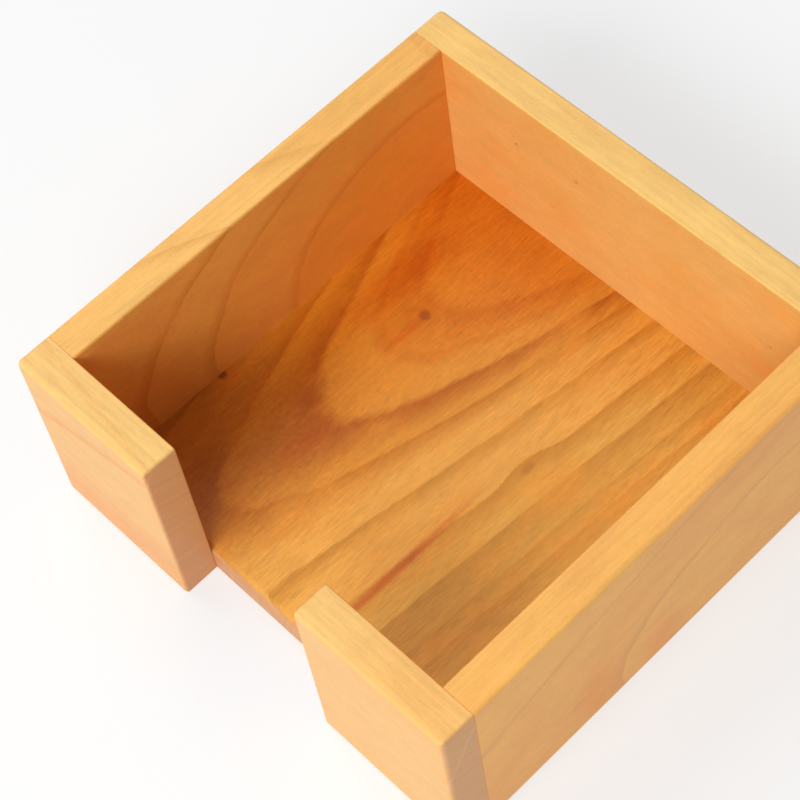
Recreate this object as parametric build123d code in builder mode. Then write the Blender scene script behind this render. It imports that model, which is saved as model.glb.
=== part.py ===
"""Desk holder for a square memo block, made of solid wood.

Two side boards stand between a full-width back board and two short front boards,
which leave a finger notch between them. A base board lies inside the walls, flush
with their undersides, and its front end grain shows in the notch. Each corner is
a butt joint, glued over two blind fluted dowels.

Millimetres. +X is right seen from the front, +Y runs to the back and +Z is up.
The origin is on the resting plane, under the middle of the box.
"""

import os

from build123d import *

# Outer size of the box
OUTER_WIDTH = 110.0
OUTER_DEPTH = 110.3
OUTER_HEIGHT = 46.0

# Boards
SIDE_THICKNESS = 7.5
BACK_THICKNESS = 7.5
FRONT_THICKNESS = 7.8
BASE_THICKNESS = 6.8
NOTCH_WIDTH = 38.7

# Eased and broken edges
CORNER_RADIUS = 1.2  # upright corners of the box
RIM_RADIUS = 0.8  # outer edge of the rim
WELL_RADIUS = 0.6  # inner edge of the rim, along the sides
NOTCH_RADIUS = 0.7  # board ends beside the notch
LIP_RADIUS = 1.6  # front edge of the base, where a finger slides in
REST_CHAMFER = 0.4  # outer edge of the underside
JOINT_CHAMFER = 0.12  # arrises where two boards meet

# Dowels and their holes
DOWEL_DIAMETER = 4.0
DOWEL_LENGTH = 16.0
DOWEL_CHAMFER = 0.5
FLUTE_COUNT = 6
FLUTE_RADIUS = 0.4
GLUE_FILM = 0.05  # room round a dowel, on the radius
END_ROOM = 0.5  # room past each end of a dowel
HOLE_SKIN = 2.5  # wood between the end of a hole and the outer face
LOWER_DOWEL_HEIGHT = 14.0  # above the underside
UPPER_DOWEL_DROP = 12.0  # below the rim

# Places that follow from the sizes above. An end or a side is the sign of its axis.
LEFT, RIGHT = -1, 1
FRONT, BACK = -1, 1
SIDE_NAMES = {LEFT: "left", RIGHT: "right"}
END_NAMES = {FRONT: "front", BACK: "back"}
THICKNESS = {FRONT: FRONT_THICKNESS, BACK: BACK_THICKNESS}
JOINT_Y = {end: end * (OUTER_DEPTH / 2 - THICKNESS[end]) for end in END_NAMES}
WELL_WIDTH = OUTER_WIDTH - 2 * SIDE_THICKNESS
WELL_DEPTH = JOINT_Y[BACK] - JOINT_Y[FRONT]
WELL_MIDDLE_Y = (JOINT_Y[BACK] + JOINT_Y[FRONT]) / 2
SIDE_MIDDLE_X = (WELL_WIDTH + SIDE_THICKNESS) / 2
FRONT_BOARD_LENGTH = (OUTER_WIDTH - NOTCH_WIDTH) / 2
FRONT_BOARD_MIDDLE_X = (NOTCH_WIDTH + FRONT_BOARD_LENGTH) / 2
DOWEL_HEIGHTS = {"lower": LOWER_DOWEL_HEIGHT, "upper": OUTER_HEIGHT - UPPER_DOWEL_DROP}


def rim_edges(board):
    """Edges round the top face of a board."""
    return board.faces().sort_by(Axis.Z)[-1].edges()


def underside_edges(board):
    """Edges round the bottom face of a board."""
    return board.faces().sort_by(Axis.Z)[0].edges()


def end_edges(board, axis, way):
    """Edges round the flat face that lies furthest along the axis, or against it."""
    flat_faces = board.faces() | GeomType.PLANE
    return flat_faces.sort_by(axis)[-1 if way > 0 else 0].edges()


def outer_edges(edges, end, notch_x=None):
    """Those edges of a front or back board that neither a joint nor the notch takes."""
    def is_outer(edge):
        past_joint = end * (edge.center().Y - JOINT_Y[end]) > NOTCH_RADIUS
        in_notch = notch_x is not None and abs(edge.center().X - notch_x) < NOTCH_RADIUS
        return past_joint and not in_notch

    return edges.filter_by(is_outer)


def depth_in_cross_board(end):
    """How deep a dowel hole goes into the front or back board."""
    return THICKNESS[end] - HOLE_SKIN


def depth_in_side_board(end):
    """How deep it goes on into the side board: the rest of the dowel, with end room."""
    return DOWEL_LENGTH + 2 * END_ROOM - depth_in_cross_board(end)


def drill_dowel_holes(side, end, facing, depth):
    """The holes of one corner, drilled from its joint against the way it is facing."""
    for height in DOWEL_HEIGHTS.values():
        middle = (side * SIDE_MIDDLE_X, JOINT_Y[end], height)
        with Locations(Plane(origin=middle, x_dir=(1, 0, 0), z_dir=(0, facing, 0))):
            Hole(DOWEL_DIAMETER / 2 + GLUE_FILM, depth)


def make_base_board():
    """Flat board between the walls. Its grain runs from front to back."""
    with BuildPart() as board:
        with BuildSketch(Plane.XY):
            with Locations((0, WELL_MIDDLE_Y)):
                Rectangle(WELL_WIDTH, WELL_DEPTH)
        extrude(amount=BASE_THICKNESS)
        fillet(rim_edges(board).sort_by(Axis.Y)[0], LIP_RADIUS)
        chamfer(underside_edges(board), JOINT_CHAMFER)
    return board


def make_side_board(side):
    """Upright board between the front and the back, drilled in both ends."""
    outward = Axis((0, 0, 0), (side, 0, 0))
    with BuildPart() as board:
        with BuildSketch(Plane.XY):
            with Locations((side * SIDE_MIDDLE_X, WELL_MIDDLE_Y)):
                Rectangle(SIDE_THICKNESS, WELL_DEPTH)
        extrude(amount=OUTER_HEIGHT)
        fillet(rim_edges(board).sort_by(outward)[-1], RIM_RADIUS)
        fillet(rim_edges(board).sort_by(outward)[0], WELL_RADIUS)
        chamfer(underside_edges(board).sort_by(outward)[-1], REST_CHAMFER)
        for end in END_NAMES:
            chamfer(end_edges(board, Axis.Y, end), JOINT_CHAMFER)
        for end in END_NAMES:
            drill_dowel_holes(side, end, end, depth_in_side_board(end))
    return board


def make_cross_board(end, middle_x, length, corners, notch_x=None):
    """Upright board across the ends of the sides, with one or two box corners."""
    with BuildPart() as board:
        with BuildSketch(Plane.XY):
            with Locations((middle_x, JOINT_Y[end] + end * THICKNESS[end] / 2)):
                Rectangle(length, THICKNESS[end])
        extrude(amount=OUTER_HEIGHT)
        for side in corners:
            uprights = end_edges(board, Axis.X, side) | Axis.Z
            fillet(uprights.sort_by(Axis.Y)[-1 if end == BACK else 0], CORNER_RADIUS)
        fillet(outer_edges(rim_edges(board), end, notch_x), RIM_RADIUS)
        chamfer(outer_edges(underside_edges(board), end, notch_x), REST_CHAMFER)
        if notch_x is not None:
            board_end = end_edges(board, Axis.X, -notch_x)
            above_foot = board_end.filter_by(lambda edge: edge.center().Z > REST_CHAMFER)
            fillet(outer_edges(above_foot, end), NOTCH_RADIUS)
        chamfer(end_edges(board, Axis.Y, -end), JOINT_CHAMFER)
        for side in corners:
            drill_dowel_holes(side, end, -end, depth_in_cross_board(end))
    return board


def make_dowel(side, end, height):
    """Pin across a corner joint, with flutes that let air and spare glue out."""
    tip_y = JOINT_Y[end] + end * (depth_in_cross_board(end) - END_ROOM)
    tip = Plane(
        origin=(side * SIDE_MIDDLE_X, tip_y, height),
        x_dir=(1, 0, 0),
        z_dir=(0, -end, 0),
    )
    with BuildPart() as dowel:
        with BuildSketch(tip):
            Circle(DOWEL_DIAMETER / 2)
        extrude(amount=DOWEL_LENGTH)
        chamfer(dowel.edges() | GeomType.CIRCLE, DOWEL_CHAMFER)
        with BuildSketch(tip):
            with PolarLocations(DOWEL_DIAMETER / 2, FLUTE_COUNT):
                Circle(FLUTE_RADIUS)
        extrude(amount=DOWEL_LENGTH, mode=Mode.SUBTRACT)
    return dowel


def save(piece, name):
    """Write one finished piece under its own name."""
    piece.part.label = name
    export_step(piece.part, f"parts/{name}.step")


os.makedirs("parts", exist_ok=True)

save(make_base_board(), "base_board")
save(make_cross_board(BACK, 0, OUTER_WIDTH, (LEFT, RIGHT)), "back_board")
for side, side_name in SIDE_NAMES.items():
    save(make_side_board(side), f"{side_name}_side_board")
    front_board = make_cross_board(
        FRONT,
        side * FRONT_BOARD_MIDDLE_X,
        FRONT_BOARD_LENGTH,
        (side,),
        notch_x=side * NOTCH_WIDTH / 2,
    )
    save(front_board, f"front_{side_name}_board")
    for end, end_name in END_NAMES.items():
        for level, height in DOWEL_HEIGHTS.items():
            save(make_dowel(side, end, height), f"dowel_{end_name}_{side_name}_{level}")
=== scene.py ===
"""Looks of the solid wood memo block holder: grain, finish, light and camera.

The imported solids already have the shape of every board, so they all stay, and
each board gets its own solid wood material. A board's growth rings are cylinders
round the middle of the log that it was sawn from, so its faces, edges and end
grain agree with each other. Lengths are in millimetres where no metres are named.
Colours are linear.
"""

import math
from typing import NamedTuple

import bpy
from mathutils import Matrix, Vector


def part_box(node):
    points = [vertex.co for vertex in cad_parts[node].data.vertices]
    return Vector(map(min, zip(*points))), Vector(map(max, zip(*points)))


MM = 0.001
ALONG_X = (1, 0, 0)
ALONG_Y = (0, 1, 0)
WHITE = (1, 1, 1)
BLACK = (0, 0, 0)

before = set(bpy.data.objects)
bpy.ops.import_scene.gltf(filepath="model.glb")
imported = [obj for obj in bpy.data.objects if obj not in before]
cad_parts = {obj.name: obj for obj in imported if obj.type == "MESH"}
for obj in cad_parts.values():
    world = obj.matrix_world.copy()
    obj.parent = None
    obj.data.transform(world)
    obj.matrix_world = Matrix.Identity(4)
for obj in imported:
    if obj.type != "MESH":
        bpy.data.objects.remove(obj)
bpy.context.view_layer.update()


def node_box(node):
    """Lowest and highest corner of a CAD node."""
    return [[part / MM for part in corner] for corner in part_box(node)]


RIM = node_box("back_board")[1][2]


def find_well():
    """Lowest and highest corner of the space that the walls stand round."""
    floor_low, floor_high = node_box("base_board")
    return (*floor_low[:2], floor_high[2]), (*floor_high[:2], RIM)


WELL = find_well()
FLOOR = WELL[0][2]  # height of the well's floor


# Node graphs ---------------------------------------------------------------


class Graph:
    """Short calls that add linked nodes to a material."""

    def __init__(self, tree):
        self.tree = tree
        tree.nodes.clear()

    def add(self, kind, inputs=(), **settings):
        """A node with its settings, and its inputs given by name or number."""
        node = self.tree.nodes.new(kind)
        for name, value in settings.items():
            setattr(node, name, value)
        for name, value in dict(inputs).items():
            self.feed(node.inputs[name], value)
        return node

    def feed(self, socket, value):
        """Links a socket to another, or sets its value."""
        if isinstance(value, bpy.types.NodeSocket):
            self.tree.links.new(value, socket)
        elif socket.type == "RGBA" and len(value) == 3:
            socket.default_value = (*value, 1.0)
        else:
            socket.default_value = value

    def math(self, operation, *values, clamp=False):
        node = self.add("ShaderNodeMath", enumerate(values), operation=operation)
        node.use_clamp = clamp
        return node.outputs[0]

    def plus(self, total, value, depth):
        """The total, with so much of the value added."""
        return self.math("MULTIPLY_ADD", value, depth, total)

    def vector(self, operation, *values):
        node = self.add("ShaderNodeVectorMath", enumerate(values), operation=operation)
        return node.outputs["Value" if operation in ("DOT_PRODUCT", "LENGTH") else "Vector"]

    def scaled(self, vector, factor):
        node = self.add("ShaderNodeVectorMath", {0: vector, "Scale": factor}, operation="SCALE")
        return node.outputs["Vector"]

    def ease(self, value, low, high, out_low=0.0, out_high=1.0):
        """The value taken smoothly from one range to another, and held at its ends."""
        inputs = {
            "Value": value,
            "From Min": low,
            "From Max": high,
            "To Min": out_low,
            "To Max": out_high,
        }
        node = self.add("ShaderNodeMapRange", inputs, interpolation_type="SMOOTHSTEP")
        return node.outputs["Result"]

    def noise(self, vector, scale=1.0, detail=2.0, roughness=0.5, distortion=0.0):
        """Noise about zero, mostly between -1 and 1."""
        inputs = {
            "Vector": vector,
            "Scale": scale,
            "Detail": detail,
            "Roughness": roughness,
            "Distortion": distortion,
        }
        value = self.add("ShaderNodeTexNoise", inputs).outputs["Fac"]
        return self.math("MULTIPLY_ADD", value, 4.0, -2.0)

    def mix(self, factor, a, b, blend="MIX"):
        node = self.add("ShaderNodeMix", data_type="RGBA", blend_type=blend)
        for number, value in ((0, factor), (6, a), (7, b)):
            self.feed(node.inputs[number], value)
        return node.outputs[2]

    def ramp(self, value, stops):
        """A colour ramp, its stops given as (position, colour)."""
        node = self.add("ShaderNodeValToRGB", {"Fac": value})
        elements = node.color_ramp.elements
        while len(elements) < len(stops):
            elements.new(1.0)
        for element, (position, colour) in zip(elements, stops):
            element.position = position
            element.color = (*colour, 1.0)
        return node.outputs["Color"]

    def seen(self):
        """1 for rays from the camera, a mirror or a clear piece, 0 for rays that light."""
        rays = self.add("ShaderNodeLightPath").outputs
        seen = self.math("ADD", rays["Is Camera Ray"], rays["Is Glossy Ray"])
        return self.math("ADD", seen, rays["Is Transmission Ray"], clamp=True)


# What a board is made of ---------------------------------------------------


class Marks(NamedTuple):
    """One kind of mark in the wood: its size, how strong it is, and its noise."""

    across: float
    length: float
    depth: float
    detail: float = 2.0
    roughness: float = 0.5
    distortion: float = 0.0


class Ring(NamedTuple):
    """A growth ring: its line comes on at once at that radius, and fades outwards."""

    radius: float
    line: tuple
    fade: float
    after: tuple


class Patch(NamedTuple):
    """An egg-shaped place where the wood takes on a tint."""

    middle: tuple
    reach: tuple
    strength: float
    tint: tuple


class Knot(NamedTuple):
    """A dark knot, and how far it pushes aside the rings that pass it."""

    middle: tuple
    reach: tuple
    strength: float
    push: float


class Timber(NamedTuple):
    """The wood of one board: how it grew and what colours it has."""

    name: str
    grain: tuple  # the axis that its fibres run along
    pith: tuple  # where the middle of the log starts
    rings: list
    start: tuple  # colour inside the first ring
    warm: tuple  # colour of the clouds
    painted_lit_rim: tuple  # colour of the top edge, made paler than the faces as painted light
    end: tuple = None  # colour of the end grain, where it isn't that of the clouds
    painted_well_shading: tuple = WHITE  # painted shading of the faces round the well, for the shade and bounce light inside
    lean: tuple = (0, 0, 0)  # how far the pith drifts for each millimetre of grain
    sweep: tuple = (0, 0, 0)  # how far the pith bends aside in SWEEP_LENGTH
    rim_calm: float = 0.8  # how far the rim's colour hides the rings
    streaky: float = 1.0  # strength of the fibres, bands and pores
    fuzz: float = 1.0  # how toothed the rings' lines are
    wander: float = 1.0  # how uneven the rings are
    patches: tuple = ()
    knots: tuple = ()


# Solid wood ----------------------------------------------------------------

BROAD_WARP = Marks(22.0, 60.0, depth=0.7)
FINE_WARP = Marks(5.0, 14.0, depth=0.16, detail=3.0)
TEETH = Marks(0.6, 4.0, depth=0.12)
CLOUDS = Marks(9.0, 20.0, depth=0.7, detail=4.0, roughness=0.6)
BANDS = Marks(1.4, 34.0, depth=0.03, detail=3.0, distortion=0.6)
FIBRES = Marks(0.24, 5.0, depth=0.10, detail=3.0, roughness=0.6)
MOTTLE = Marks(3.5, 7.0, depth=0.05, detail=4.0, roughness=0.6)
FLECKS = Marks(0.5, 1.0, depth=0.05, detail=3.0, roughness=0.7)
PORES = Marks(0.24, 4.5, depth=0.4)
CLOUD_RANGE = (-0.3, 0.9)  # noise at which a cloud begins, and is full
PORE_RANGE = (0.2, 0.95)
CLOUD_DEPTH_ON_RIM = 0.3
BAND_DEPTH_ON_RIM = 0.10

SWEEP_LENGTH = 100.0
LATE_LINE = 0.05  # how soon a ring's line comes on
RING_MARGIN = 1.0  # room in a ring ramp before the first ring and after the last
RIM_RANGE = (0.9, 0.3)  # below the rim, where its colour begins and is full
WELL_RANGE = (0.05, 0.45)  # outside the well, where its painted shading begins to fade and is gone

SPOT_WOBBLE = 0.12  # how uneven the edge of a spot is
SPOT_WOBBLE_SCALE = 0.9
PATCH_SOFTNESS = 0.7
KNOT_SOFTNESS = 0.5
HALO_SIZE = 2.0  # times the knot
HALO_SOFTNESS = 0.8
HALO_DEPTH = 0.5
PUSH_SIZE = 3.2
PUSH_SOFTNESS = 0.9

PORE_TINT = (0.80, 0.62, 0.42)
KNOT_CORE = (0.27, 0.055, 0.004)
KNOT_HALO = (0.60, 0.16, 0.004)

END_GRAIN_RANGE = (0.45, 0.95)  # of how squarely a face cuts the grain
END_GRAIN_CALM = 0.65  # how far one colour hides the rings there
END_GRAIN_TINT = (0.77, 0.75, 0.92)
END_LINE_COLOUR = (0.86, 0.50, 0.26)
END_LINE_HALF_WIDTH = 0.6
END_LINE_DEPTH = 0.3
RAY_SCALE = 90.0
RAY_DETAIL = 3.0
RAY_DEPTH = 0.06

FIBRE_ROUGHNESS = (0.40, 0.54)
BUMP_STRENGTH = 0.35
BUMP_HEIGHT = 0.02
FINISH_IOR = 1.48
FINISH_SHINE = 0.36


class Place:
    """The point of a board that is being shaded, in the forms that its marks need."""

    def __init__(self, graph, grain):
        coordinates = graph.add("ShaderNodeTexCoord")
        self.graph = graph
        self.grain = Vector(grain)
        self.normal = coordinates.outputs["Normal"]
        self.point = graph.scaled(coordinates.outputs["Object"], 1.0 / MM)
        height = graph.add("ShaderNodeSeparateXYZ", {0: self.point}).outputs["Z"]
        self.on_rim = graph.ease(height, *(RIM - below for below in RIM_RANGE))

    def noise(self, marks):
        """Noise of the width across the grain, and the length along it, of those marks."""
        steps = [1 / (marks.length if part else marks.across) for part in self.grain]
        return self.graph.noise(
            self.graph.vector("MULTIPLY", self.point, steps),
            detail=marks.detail,
            roughness=marks.roughness,
            distortion=marks.distortion,
        )

    def unless_on_rim(self, value, value_on_rim):
        """The first value below the rim, and the second on it."""
        return self.graph.ease(self.on_rim, 0.0, 1.0, value, value_on_rim)

    def spot(self, middle, reach, softness):
        """1 inside an egg-shaped spot, 0 outside it. Its reach is given for each axis."""
        graph = self.graph
        away = graph.vector("SUBTRACT", self.point, middle)
        distance = graph.vector("LENGTH", graph.vector("DIVIDE", away, reach))
        wobble = graph.noise(self.point, SPOT_WOBBLE_SCALE)
        distance = graph.plus(distance, wobble, SPOT_WOBBLE)
        return graph.ease(distance, 1.0 - softness, 1.0 + softness, 1.0, 0.0)

    def knot_spot(self, knot, size, softness):
        """A spot on a knot, its size given as a multiple of the knot's."""
        return self.spot(knot.middle, [part * size for part in knot.reach], softness)

    def painted_well_shading_mask(self):
        """Mask of the painted well shading: 1 on the faces round the well, 0 on the rim and the
        outer faces.
        """
        graph = self.graph
        low, high = WELL
        middle = [(a + b) / 2 for a, b in zip(low, high)]
        half = [(b - a) / 2 for a, b in zip(low, high)]
        away = graph.vector("ABSOLUTE", graph.vector("SUBTRACT", self.point, middle))
        outside = graph.vector("MAXIMUM", graph.vector("SUBTRACT", away, half), (0, 0, 0))
        return graph.ease(graph.vector("LENGTH", outside), *WELL_RANGE, 1.0, 0.0)


def ring_span(rings):
    """The radii between which a board's rings lie, with a little room."""
    last = rings[-1]
    return rings[0].radius - RING_MARGIN, last.radius + last.fade + RING_MARGIN


def stops_in_span(stops, rings):
    """Ramp stops whose places are radii, as shares of the rings' span."""
    low, high = ring_span(rings)
    return [((radius - low) / (high - low), colour) for radius, colour in stops]


def ring_stops(rings, start):
    """Ramp stops for the colour of the rings."""
    stops = [(ring_span(rings)[0], start)]
    before = start
    for ring in rings:
        stops.append((ring.radius - LATE_LINE, before))
        stops.append((ring.radius + LATE_LINE, ring.line))
        stops.append((ring.radius + ring.fade, ring.after))
        before = ring.after
    return stops_in_span(stops, rings)


def line_stops(rings):
    """Ramp stops for a thin light line at each ring, as end grain shows it."""
    stops = [(ring_span(rings)[0], BLACK)]
    for ring in rings:
        stops.append((ring.radius - END_LINE_HALF_WIDTH, BLACK))
        stops.append((ring.radius, WHITE))
        stops.append((ring.radius + END_LINE_HALF_WIDTH, BLACK))
    return stops_in_span(stops, rings)


def spoke_from_pith(place, timber):
    """From the middle of the log to the point, square to the grain."""
    graph = place.graph
    from_pith = graph.vector("SUBTRACT", place.point, timber.pith)
    along = graph.vector("DOT_PRODUCT", from_pith, place.grain)
    bend = graph.math("POWER", graph.math("MULTIPLY", along, 1 / SWEEP_LENGTH), 2.0)
    drift = graph.scaled(timber.lean, along)
    drift = graph.vector("ADD", drift, graph.scaled(timber.sweep, bend))
    spoke = graph.vector("SUBTRACT", from_pith, drift)
    return graph.vector("MULTIPLY", spoke, Vector((1, 1, 1)) - place.grain)


def place_in_rings(place, spoke, timber):
    """How far out among the rings the point lies, from 0 to 1 over their span."""
    graph = place.graph
    radius = graph.vector("LENGTH", spoke)
    for marks, share in (
        (BROAD_WARP, timber.wander),
        (FINE_WARP, timber.wander),
        (TEETH, timber.fuzz),
    ):
        radius = graph.plus(radius, place.noise(marks), marks.depth * share)
    for knot in timber.knots:
        near = place.knot_spot(knot, PUSH_SIZE, PUSH_SOFTNESS)
        radius = graph.plus(radius, near, knot.push)
    low, high = ring_span(timber.rings)
    past_low = graph.math("SUBTRACT", radius, low)
    return graph.math("DIVIDE", past_low, high - low, clamp=True)


def with_clouds(place, colour, warm):
    graph = place.graph
    clouds = graph.ease(place.noise(CLOUDS), *CLOUD_RANGE)
    depth = place.unless_on_rim(CLOUDS.depth, CLOUD_DEPTH_ON_RIM)
    return graph.mix(graph.math("MULTIPLY", clouds, depth), colour, warm)


def with_patches(place, colour, patches):
    graph = place.graph
    for patch in patches:
        mark = place.spot(patch.middle, patch.reach, PATCH_SOFTNESS)
        amount = graph.math("MULTIPLY", mark, patch.strength)
        colour = graph.mix(amount, colour, patch.tint, "MULTIPLY")
    return colour


def with_fibres(place, colour, fibres, pores, streaky):
    """The colour with bands, fibres, mottling, flecks and pores."""
    graph = place.graph
    band_depth = place.unless_on_rim(BANDS.depth * streaky, BAND_DEPTH_ON_RIM)
    shade = graph.plus(1.0, place.noise(BANDS), band_depth)
    shade = graph.plus(shade, fibres, FIBRES.depth * streaky)
    for marks in (MOTTLE, FLECKS):
        shade = graph.plus(shade, place.noise(marks), marks.depth)
    colour = graph.scaled(colour, shade)
    amount = graph.math("MULTIPLY", pores, PORES.depth * streaky)
    return graph.mix(amount, colour, PORE_TINT, "MULTIPLY")


def with_knots(place, colour, knots):
    """The colour with dark knots, each in a redder halo."""
    graph = place.graph
    for knot in knots:
        halo = place.knot_spot(knot, HALO_SIZE, HALO_SOFTNESS)
        halo = graph.math("MULTIPLY", halo, HALO_DEPTH * knot.strength)
        core = place.knot_spot(knot, 1.0, KNOT_SOFTNESS)
        core = graph.math("MULTIPLY", core, knot.strength)
        colour = graph.mix(halo, colour, KNOT_HALO)
        colour = graph.mix(core, colour, KNOT_CORE)
    return colour


def with_end_grain(place, colour, spoke, ring_place, timber):
    """The colour with calmer end grain, crossed by fine rays and light ring lines."""
    graph = place.graph
    end = graph.mix(END_GRAIN_CALM, colour, timber.end or timber.warm)
    end = graph.mix(1.0, end, END_GRAIN_TINT, "MULTIPLY")
    line = graph.ramp(ring_place, line_stops(timber.rings))
    end = graph.mix(graph.math("MULTIPLY", line, END_LINE_DEPTH), end, END_LINE_COLOUR)
    rays = graph.noise(graph.vector("NORMALIZE", spoke), RAY_SCALE, RAY_DETAIL)
    end = graph.scaled(end, graph.plus(1.0, rays, RAY_DEPTH))
    facing = graph.vector("DOT_PRODUCT", place.normal, place.grain)
    share = graph.ease(graph.math("ABSOLUTE", facing), *END_GRAIN_RANGE)
    return graph.mix(share, colour, end)


def add_satin_finish(graph, colour, fibres, pores):
    """Ends a material with a clear satin finish, through which the fibres are felt."""
    bump_inputs = {
        "Height": graph.plus(fibres, pores, -1.0),
        "Strength": BUMP_STRENGTH,
        "Distance": BUMP_HEIGHT * MM,
    }
    bump = graph.add("ShaderNodeBump", bump_inputs)
    shader_inputs = {
        "Base Color": colour,
        "Roughness": graph.ease(fibres, -1.5, 1.5, *FIBRE_ROUGHNESS),
        "Normal": bump.outputs["Normal"],
    }
    shader = graph.add("ShaderNodeBsdfPrincipled", shader_inputs)
    shader.inputs["IOR"].default_value = FINISH_IOR
    shader.inputs["Specular IOR Level"].default_value = FINISH_SHINE
    output = graph.add("ShaderNodeOutputMaterial")
    graph.feed(output.inputs["Surface"], shader.outputs["BSDF"])


def wood(timber):
    """The material of a board: solid wood with a clear satin finish."""
    material = bpy.data.materials.new(timber.name)
    material.use_nodes = True
    graph = Graph(material.node_tree)
    place = Place(graph, timber.grain)
    spoke = spoke_from_pith(place, timber)
    ring_place = place_in_rings(place, spoke, timber)
    fibres = place.noise(FIBRES)
    pores = graph.ease(place.noise(PORES), *PORE_RANGE)

    colour = graph.ramp(ring_place, ring_stops(timber.rings, timber.start))
    # Painted light: near the top the colour turns to the rim's, paler than the faces.
    calm = graph.math("MULTIPLY", place.on_rim, timber.rim_calm)
    colour = graph.mix(calm, colour, timber.painted_lit_rim)
    colour = with_clouds(place, colour, timber.warm)
    colour = with_patches(place, colour, timber.patches)
    colour = with_fibres(place, colour, fibres, pores, timber.streaky)
    colour = with_knots(place, colour, timber.knots)
    colour = with_end_grain(place, colour, spoke, ring_place, timber)
    # Painted shading: the faces round the well are tinted, most of them deeper and redder for
    # the shade and bounce light inside, the back wall's inner face paler for the light on it.
    colour = graph.mix(place.painted_well_shading_mask(), colour, timber.painted_well_shading, "MULTIPLY")
    add_satin_finish(graph, colour, fibres, pores)
    return material


# The boards ----------------------------------------------------------------

HONEY = (0.92, 0.48, 0.12)
PALE = (0.85, 0.48, 0.165)
ROSE = (0.87, 0.42, 0.12)

ORANGE = (0.76, 0.28, 0.02)
TIP = (0.78, 0.33, 0.038)
RED = (0.66, 0.20, 0.008)
GOLD = (0.86, 0.415, 0.070)
OLIVE = (0.80, 0.42, 0.068)
UMBER = (0.50, 0.128, 0.003)
TAN = (0.62, 0.255, 0.022)
LATE_TAN = (0.66, 0.32, 0.042)

SIDE_WARM = (0.88, 0.38, 0.10)
SIDE_LINE = (0.77, 0.34, 0.06)
# Painted shade and bounce light on the front boards' inner faces
FRONT_PAINTED_WELL_SHADING = (0.92, 0.80, 0.62)
PIN = (0.72, 0.52, 0.33)

# One wide cathedral that opens to the back, with a left side made redder and darker by painted
# shade
BASE_WOOD = Timber(
    name="base_wood",
    grain=ALONG_Y,
    pith=(-24.0, -47.5, -72.1),
    lean=(-0.042, 0, 0.043),
    sweep=(-0.1, 0, 2.75),
    rings=[
        Ring(74.6, RED, 0.9, ORANGE),
        Ring(75.6, (0.70, 0.23, 0.012), 0.35, TIP),
        Ring(76.86, UMBER, 1.2, (0.75, 0.315, 0.032)),
        Ring(78.39, (0.60, 0.21, 0.010), 1.3, GOLD),
        Ring(81.11, TAN, 1.3, GOLD),
        Ring(85.06, TAN, 2.4, OLIVE),
        Ring(88.56, (0.60, 0.27, 0.032), 3.0, (0.76, 0.39, 0.06)),
        Ring(92.2, LATE_TAN, 1.6, OLIVE),
        Ring(94.3, LATE_TAN, 2.2, OLIVE),
        Ring(99.0, LATE_TAN, 2.4, OLIVE),
    ],
    start=ORANGE,
    warm=(0.84, 0.35, 0.04),
    painted_lit_rim=GOLD,
    # pale end grain on the front lip, partly the wood's and partly painted highlight
    end=(0.92, 0.46, 0.17),
    streaky=1.5,
    fuzz=0.5,
    wander=0.35,
    patches=[
        # painted shade: the left side along the left wall, darker and redder, and the shadow of
        # the left front board in the corner behind it
        Patch((-54.0, 10.0, FLOOR), (34.0, 70.0, 40.0), 0.8, (0.89, 0.67, 0.28)),
        Patch((-50.0, -32.0, FLOOR), (29.0, 26.0, 40.0), 0.9, (0.66, 0.50, 0.25)),
        # the back edge, and the middle
        Patch((-20.0, 54.0, FLOOR), (42.0, 24.0, 40.0), 0.9, (0.84, 0.66, 0.35)),
        Patch((8.0, 24.0, FLOOR), (22.0, 34.0, 40.0), 0.9, (0.84, 0.86, 0.95)),
        # the tip of the cathedral, and the red flame to the left of the first knot
        Patch((-23.0, -19.0, FLOOR), (2.5, 7.0, 40.0), 0.5, (0.95, 0.72, 0.45)),
        Patch((-37.0, 20.0, FLOOR), (4.0, 14.0, 40.0), 0.7, (0.90, 0.58, 0.25)),
        # behind the right front board: a duller area, partly the wood and partly painted shadow
        # of that board, and a red streak
        Patch((40.0, -34.0, FLOOR), (16.0, 30.0, 40.0), 0.4, (0.86, 0.92, 1.0)),
        Patch((9.8, -27.0, FLOOR), (0.8, 18.0, 5.0), 0.9, (0.82, 0.42, 0.18)),
        # a short streak in front of the first knot
        Patch((-26.8, 12.5, FLOOR), (0.9, 5.0, 5.0), 0.7, (0.90, 0.56, 0.2)),
    ],
    knots=[
        Knot((-26.8, 17.9, FLOOR), (1.3, 1.2, 6.0), 0.65, 0.12),
        Knot((12.8, 6.5, FLOOR), (0.9, 1.6, 6.0), 0.3, 0.8),
        Knot((-47.2, -19.3, 6.3), (1.1, 1.0, 3.0), 1.0, 0.1),
    ],
)

# Arcs that rise from the floor and lean to the back
LEFT_WOOD = Timber(
    name="left_wood",
    grain=ALONG_Y,
    pith=(-106.7, -47.5, 14.2),
    lean=(0.38, 0, -0.154),
    sweep=(28.2, 0, 0),
    rings=[
        Ring(33.4, (0.76, 0.31, 0.04), 2.2, (0.91, 0.45, 0.10)),
        Ring(46.5, SIDE_LINE, 1.8, HONEY),
        Ring(54.8, SIDE_LINE, 1.8, HONEY),
    ],
    start=(0.90, 0.41, 0.07),
    warm=SIDE_WARM,
    painted_lit_rim=(0.87, 0.52, 0.14),
    # painted shade and bounce light on the inner face
    painted_well_shading=(0.86, 0.76, 0.62),
    rim_calm=0.35,
    streaky=0.5,
    # painted shadow of the front left board, low on the front of the inner face
    patches=[Patch((-47.5, -40.0, 4.0), (4.0, 24.0, 28.0), 0.9, (0.72, 0.62, 0.50))],
)

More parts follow.
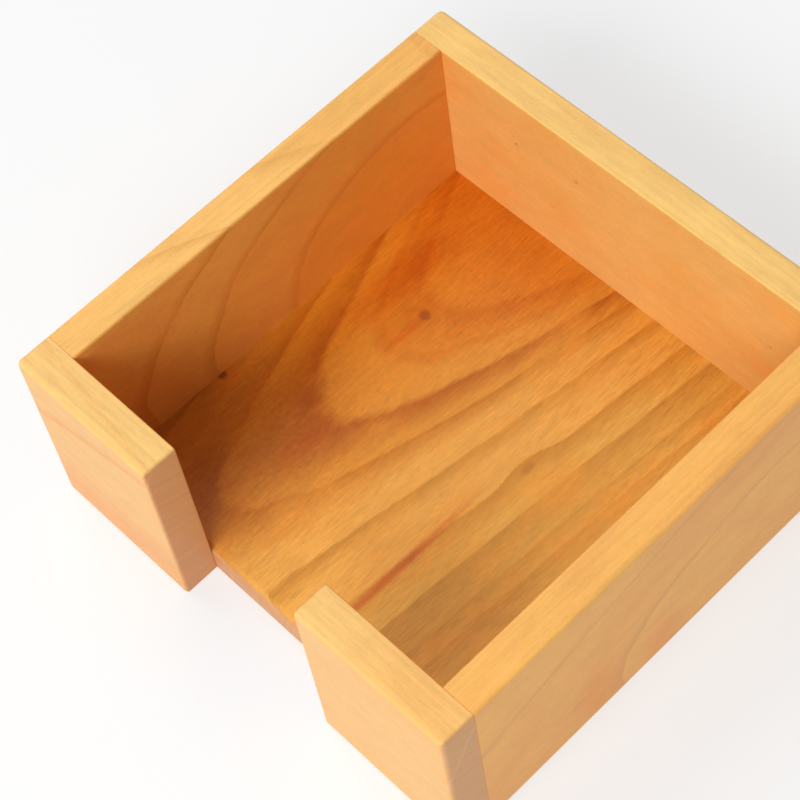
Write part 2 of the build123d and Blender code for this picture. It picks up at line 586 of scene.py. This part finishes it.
# Two long arcs on the outer face
RIGHT_WOOD = Timber(
    name="right_wood",
    grain=ALONG_Y,
    pith=(17.6, -55.0, 9.1),
    lean=(0.136, 0, -0.065),
    sweep=(30.8, 0, 0),
    rings=[
        Ring(26.0, (0.80, 0.36, 0.09), 1.6, (0.90, 0.44, 0.105)),
        Ring(40.4, (0.80, 0.38, 0.10), 1.6, (0.90, 0.45, 0.11)),
    ],
    start=(0.91, 0.46, 0.11),
    warm=SIDE_WARM,
    painted_lit_rim=(0.90, 0.465, 0.10),
    # painted shade and bounce light on the inner face
    painted_well_shading=(0.90, 0.75, 0.55),
    rim_calm=0.35,
    streaky=0.5,
    patches=[
        Patch((55.0, -19.0, 9.0), (4.0, 5.0, 8.0), 0.8, (0.97, 0.80, 0.70)),
        Patch((55.0, -1.0, 5.0), (4.0, 5.0, 6.0), 0.8, (0.99, 0.84, 0.80)),
        Patch((55.0, 20.0, 42.0), (4.0, 22.0, 5.0), 0.6, (0.96, 0.86, 0.85)),
    ],
)

# Nearly plain, with broad faint clouds and a few pin knots
BACK_WOOD = Timber(
    name="back_wood",
    grain=ALONG_X,
    pith=(-55.0, 150.0, 60.0),
    lean=(0, 0.12, -0.25),
    sweep=(0, 6.0, 10.0),
    rings=[
        Ring(90.0, ROSE, 2.5, PALE),
        Ring(95.0, ROSE, 1.5, PALE),
        Ring(99.0, (0.84, 0.39, 0.105), 2.5, PALE),
        Ring(104.0, ROSE, 2.5, PALE),
    ],
    start=PALE,
    warm=(0.88, 0.42, 0.11),
    painted_lit_rim=(0.94, 0.59, 0.18),
    # painted light: the back wall's inner face is made paler
    painted_well_shading=(1.04, 1.05, 0.92),
    streaky=0.5,
    wander=2.5,
    patches=[
        Patch((20.0, 47.6, 18.0), (12.0, 9.0, 9.0), 0.7, (0.97, 0.86, 0.78)),
        Patch((-20.0, 47.6, 38.0), (16.0, 9.0, 5.0), 0.6, (0.97, 0.88, 0.8)),
    ],
    knots=[
        Knot((-28.2, 47.6, 32.7), (0.22, 2.0, 0.28), 0.5, 0.0),
        Knot((-12.0, 47.6, 34.7), (0.22, 2.0, 0.28), 0.5, 0.0),
        Knot((37.0, 47.6, 27.5), (0.2, 2.0, 0.22), 0.4, 0.0),
    ],
)

# One rosy line that rises to the right
FRONT_LEFT_WOOD = Timber(
    name="front_left_wood",
    grain=ALONG_X,
    pith=(-55.0, 45.0, -5.0),
    lean=(0, -0.128, 0),
    rings=[Ring(106.1, (0.84, 0.37, 0.10), 1.2, PALE)],
    start=PALE,
    warm=(0.87, 0.44, 0.15),
    painted_lit_rim=(0.95, 0.63, 0.18),
    painted_well_shading=FRONT_PAINTED_WELL_SHADING,
    rim_calm=0.45,
    streaky=0.6,
    patches=[Patch((-32.0, -55.0, 2.0), (30.0, 4.0, 12.0), 0.8, (0.98, 0.80, 0.80))],
)

# A pale face with one faint arc
FRONT_RIGHT_WOOD = Timber(
    name="front_right_wood",
    grain=ALONG_X,
    pith=(33.5, 25.0, 5.0),
    lean=(0, 0.2, -0.45),
    rings=[Ring(90.2, (0.87, 0.46, 0.14), 1.5, PALE)],
    start=PALE,
    warm=(0.88, 0.45, 0.14),
    painted_lit_rim=(0.95, 0.595, 0.17),
    painted_well_shading=FRONT_PAINTED_WELL_SHADING,
    rim_calm=0.45,
    streaky=0.6,
    patches=[Patch((50.0, -50.0, 46.0), (14.0, 9.0, 4.0), 0.6, (1.0, 0.86, 0.78))],
)

# Plain pale pins, hidden inside the joints
DOWEL_WOOD = Timber(
    name="dowel_wood",
    grain=ALONG_Y,
    pith=(0, 0, -60),
    rings=[Ring(60.0 + 4.0 * count, (0.6, 0.4, 0.23), 2.0, PIN) for count in range(8)],
    start=PIN,
    warm=(0.7, 0.45, 0.28),
    painted_lit_rim=PIN,
)

BOARDS = {
    "base_board": BASE_WOOD,
    "left_side_board": LEFT_WOOD,
    "right_side_board": RIGHT_WOOD,
    "back_board": BACK_WOOD,
    "front_left_board": FRONT_LEFT_WOOD,
    "front_right_board": FRONT_RIGHT_WOOD,
}


def dress(node, material):
    """Gives a CAD node its material."""
    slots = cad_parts[node].data.materials
    slots.clear()
    slots.append(material)


def dress_all():
    for node, timber in BOARDS.items():
        dress(node, wood(timber))
    pin_material = wood(DOWEL_WOOD)
    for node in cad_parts:
        if node.startswith("dowel_"):
            dress(node, pin_material)


# Camera --------------------------------------------------------------------

CAMERA_PLACE = Vector((179.8, -139.4, 400.7)) * MM
AZIMUTH = 54.50  # degrees from the front to the right, of where it looks from
ELEVATION = 58.54  # degrees above the level
ROLL = 10.57  # degrees
LENS = 105.6
SENSOR = 36.0
CLIP_START = 0.01  # metres
CLIP_END = 50.0  # metres


def place_camera():
    camera = bpy.data.objects.new("camera", bpy.data.cameras.new("camera"))
    camera.data.lens = LENS
    camera.data.sensor_width = SENSOR
    camera.data.clip_start = CLIP_START
    camera.data.clip_end = CLIP_END
    tilt = Matrix.Rotation(math.radians(90.0 - ELEVATION), 4, "X")
    turn = Matrix.Rotation(math.radians(AZIMUTH), 4, "Z")
    roll = Matrix.Rotation(math.radians(-ROLL), 4, "Z")
    camera.matrix_world = Matrix.Translation(CAMERA_PLACE) @ turn @ tilt @ roll
    bpy.context.scene.collection.objects.link(camera)
    bpy.context.scene.camera = camera


# Floor and light -----------------------------------------------------------

SHEET_SIZE = 6.0  # metres
SHEET_COLOUR = (0.89, 0.90, 0.91)
SHEET_LIFT = 0.52  # how much of its white the sheet keeps in shadow
LAMP_DISTANCE = 1.2  # metres
WORLD_LIGHT = 0.32  # strength of the grey light from all round
WORLD_SEEN = 0.94  # how bright the world looks beyond the sheet


def sheet_material():
    """Pale paper that takes a soft shadow."""
    material = bpy.data.materials.new("pale_floor")
    material.use_nodes = True
    graph = Graph(material.node_tree)
    paper = graph.add("ShaderNodeBsdfDiffuse", {"Color": SHEET_COLOUR})
    glow = graph.add("ShaderNodeEmission", {"Color": WHITE, "Strength": 1.0})
    lift = graph.math("MULTIPLY", graph.seen(), SHEET_LIFT)
    both = graph.add("ShaderNodeMixShader", {0: lift, 1: paper.outputs[0], 2: glow.outputs[0]})
    output = graph.add("ShaderNodeOutputMaterial")
    graph.feed(output.inputs["Surface"], both.outputs[0])
    return material


def make_floor():
    """A pale sheet that the holder stands on."""
    half = SHEET_SIZE / 2
    mesh = bpy.data.meshes.new("floor")
    corners = [(-half, -half, 0), (half, -half, 0), (half, half, 0), (-half, half, 0)]
    mesh.from_pydata(corners, [], [(0, 1, 2, 3)])
    mesh.materials.append(sheet_material())
    floor = bpy.data.objects.new("floor", mesh)
    bpy.context.scene.collection.objects.link(floor)


def add_softbox(name, azimuth, elevation, width, height, power):
    """A soft lamp aimed at the holder. Its place is in degrees, from the front to the
    right and above the level, its size in metres and its power in watts."""
    lamp = bpy.data.lights.new(name, "AREA")
    lamp.shape = "RECTANGLE"
    lamp.size = width
    lamp.size_y = height
    lamp.energy = power
    turn = math.radians(azimuth)
    rise = math.radians(elevation)
    away = Vector(
        (math.sin(turn) * math.cos(rise), -math.cos(turn) * math.cos(rise), math.sin(rise))
    )
    box = bpy.data.objects.new(name, lamp)
    box.location = away * LAMP_DISTANCE
    box.rotation_euler = away.to_track_quat("Z", "Y").to_euler()
    bpy.context.scene.collection.objects.link(box)


def light_world():
    """Grey light from all round, and the pale sheet that is seen beyond the floor."""
    world = bpy.data.worlds.new("studio")
    world.use_nodes = True
    graph = Graph(world.node_tree)
    strength = graph.plus(WORLD_LIGHT, graph.seen(), WORLD_SEEN - WORLD_LIGHT)
    background = graph.add("ShaderNodeBackground", {"Color": WHITE, "Strength": strength})
    output = graph.add("ShaderNodeOutputWorld")
    graph.feed(output.inputs["Surface"], background.outputs[0])
    bpy.context.scene.world = world


dress_all()
place_camera()
make_floor()
add_softbox("key", azimuth=21, elevation=43, width=0.87, height=0.42, power=10.0)
add_softbox("fill_left", azimuth=-90, elevation=50, width=0.9, height=0.9, power=5.5)
light_world()

bpy.context.scene.view_settings.view_transform = "Standard"
